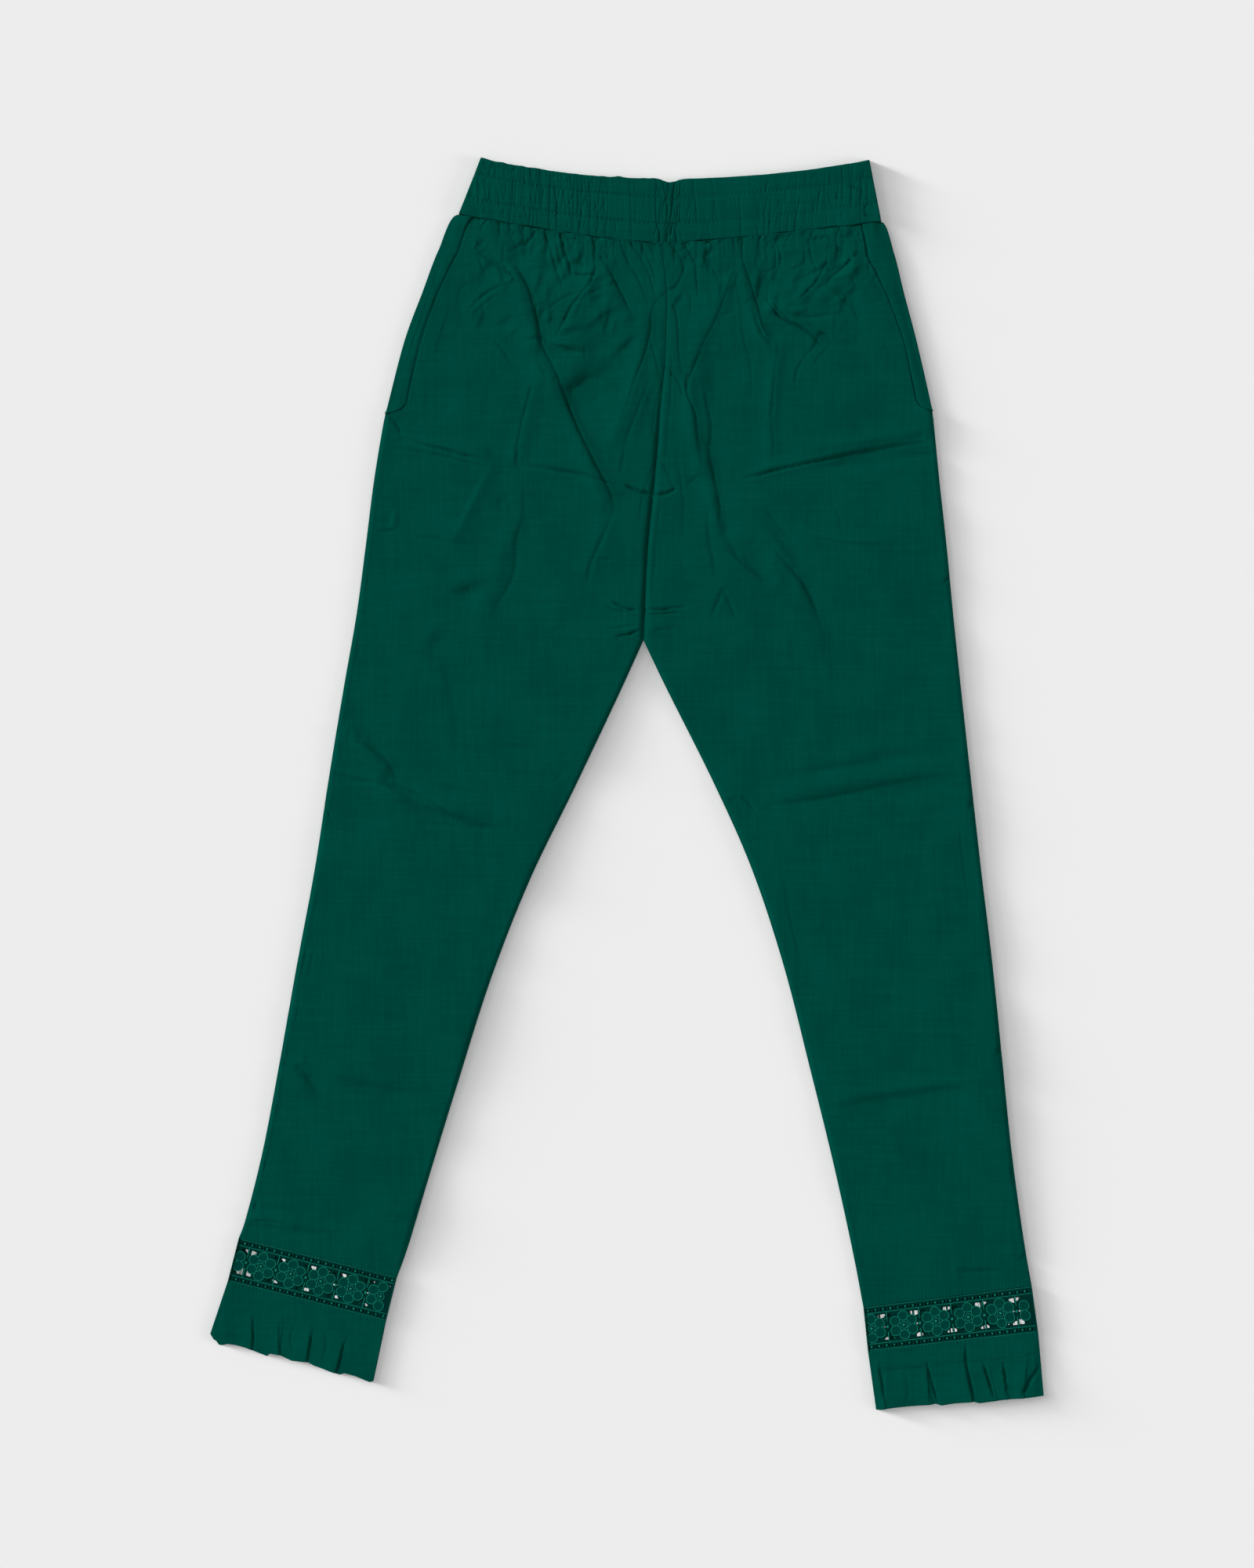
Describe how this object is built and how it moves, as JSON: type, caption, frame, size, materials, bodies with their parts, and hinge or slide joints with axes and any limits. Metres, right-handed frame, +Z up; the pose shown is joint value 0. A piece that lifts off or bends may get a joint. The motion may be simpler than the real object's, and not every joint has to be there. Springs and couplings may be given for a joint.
{
  "type": "straight pants laid flat",
  "caption": "Pull-on straight pants laid flat, with a gathered elastic waist, slanted side pockets, flower-lace bands and pleated hem frills.",
  "frame": {"origin": "middle of the garment's outline, on the surface it lies on", "axes": "+X to the wearer's left, +Y from the hems to the waist, +Z up from the surface through the cloth"},
  "size_m": [0.659, 0.9891, 0.0082],
  "materials": {
    "pants_cloth": "matte woven cotton blend, plain fine weave",
    "lace": "matte corded cotton lace with net petals"
  },
  "bodies": {
    "root": {"waistband_front": "pants_cloth", "waistband_back": "pants_cloth", "front_right": "pants_cloth", "front_left": "pants_cloth", "back_right": "pants_cloth", "back_left": "pants_cloth", "pocket_facing_right": "pants_cloth", "pocket_facing_left": "pants_cloth", "lace_right_front": "lace", "lace_right_back": "lace", "lace_left_front": "lace", "lace_left_back": "lace", "frill_right_front": "pants_cloth", "frill_right_back": "pants_cloth", "frill_left_front": "pants_cloth", "frill_left_back": "pants_cloth"}
  },
  "joints": []
}
